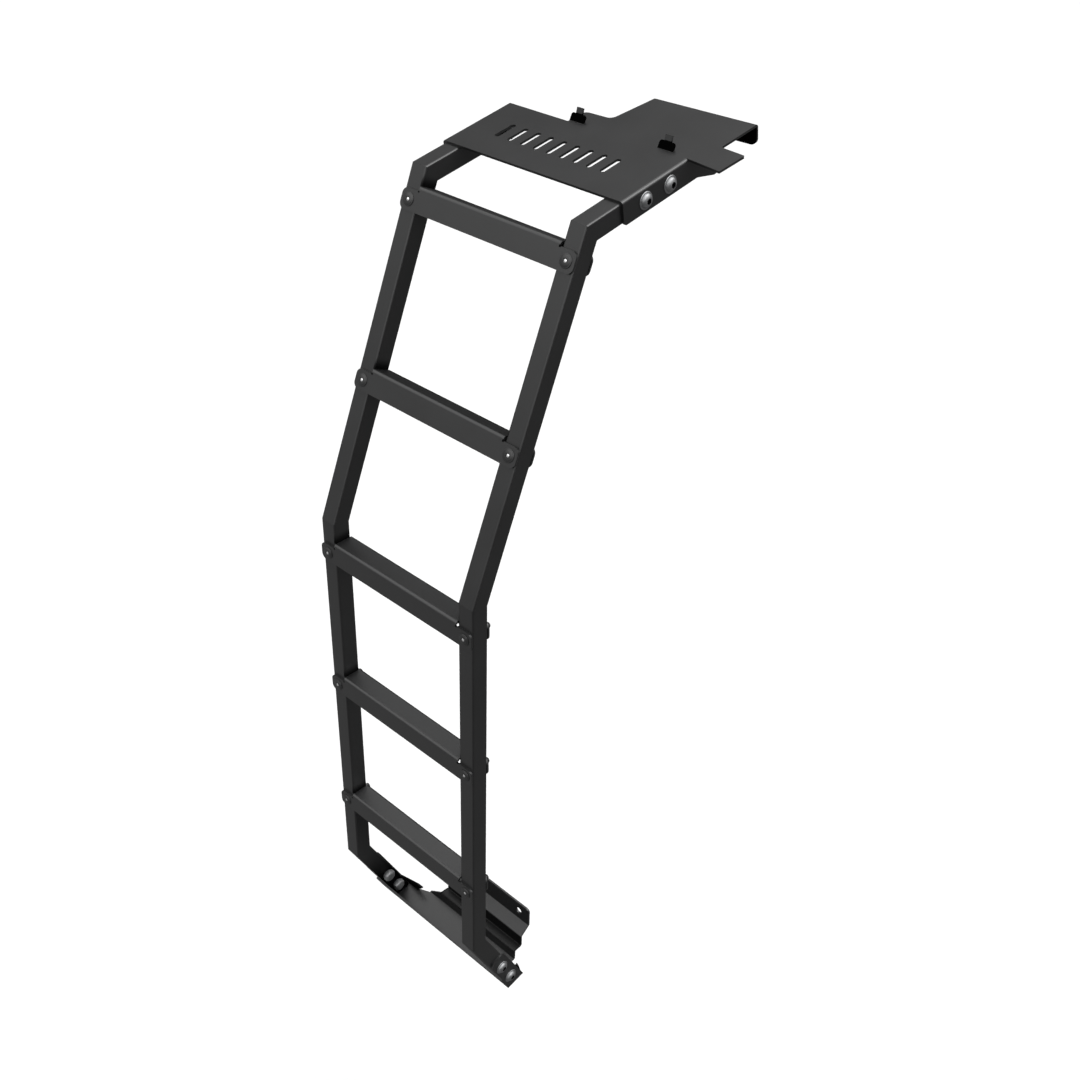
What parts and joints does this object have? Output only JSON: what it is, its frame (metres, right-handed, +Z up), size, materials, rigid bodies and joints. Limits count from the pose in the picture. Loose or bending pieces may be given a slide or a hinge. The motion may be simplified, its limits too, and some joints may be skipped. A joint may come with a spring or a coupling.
{
  "type": "vehicle ladder",
  "caption": "Vehicle tailgate ladder: square-tube rails bent to follow the hatch, folded channel rungs, a folded roof bracket with hooks and a stepped sill bracket.",
  "frame": {"origin": "on the back face of the sill bracket's flange, level with its fixing holes, in the rails' middle plane", "axes": "+Z up along the lower rails, +Y in towards the vehicle, +X along the rungs"},
  "size_m": [0.3351, 0.4551, 1.251],
  "materials": {
    "rail_coat": "satin",
    "rung_coat": "satin",
    "bracket_coat": "satin",
    "bolt_coat": "satin",
    "bolt_zinc": "satin"
  },
  "bodies": {
    "root": {"left_foot": "rail_coat", "left_lower_rail": "rail_coat", "left_upper_rail": "rail_coat", "left_roof_arm": "rail_coat", "right_foot": "rail_coat", "right_lower_rail": "rail_coat", "right_upper_rail": "rail_coat", "right_roof_arm": "rail_coat", "rung_1": "rung_coat", "rung_2": "rung_coat", "rung_3": "rung_coat", "rung_4": "rung_coat", "rung_5": "rung_coat", "roof_bracket": "bracket_coat", "ear_gusset": "bracket_coat", "sill_bracket": "bracket_coat"}
  },
  "joints": []
}
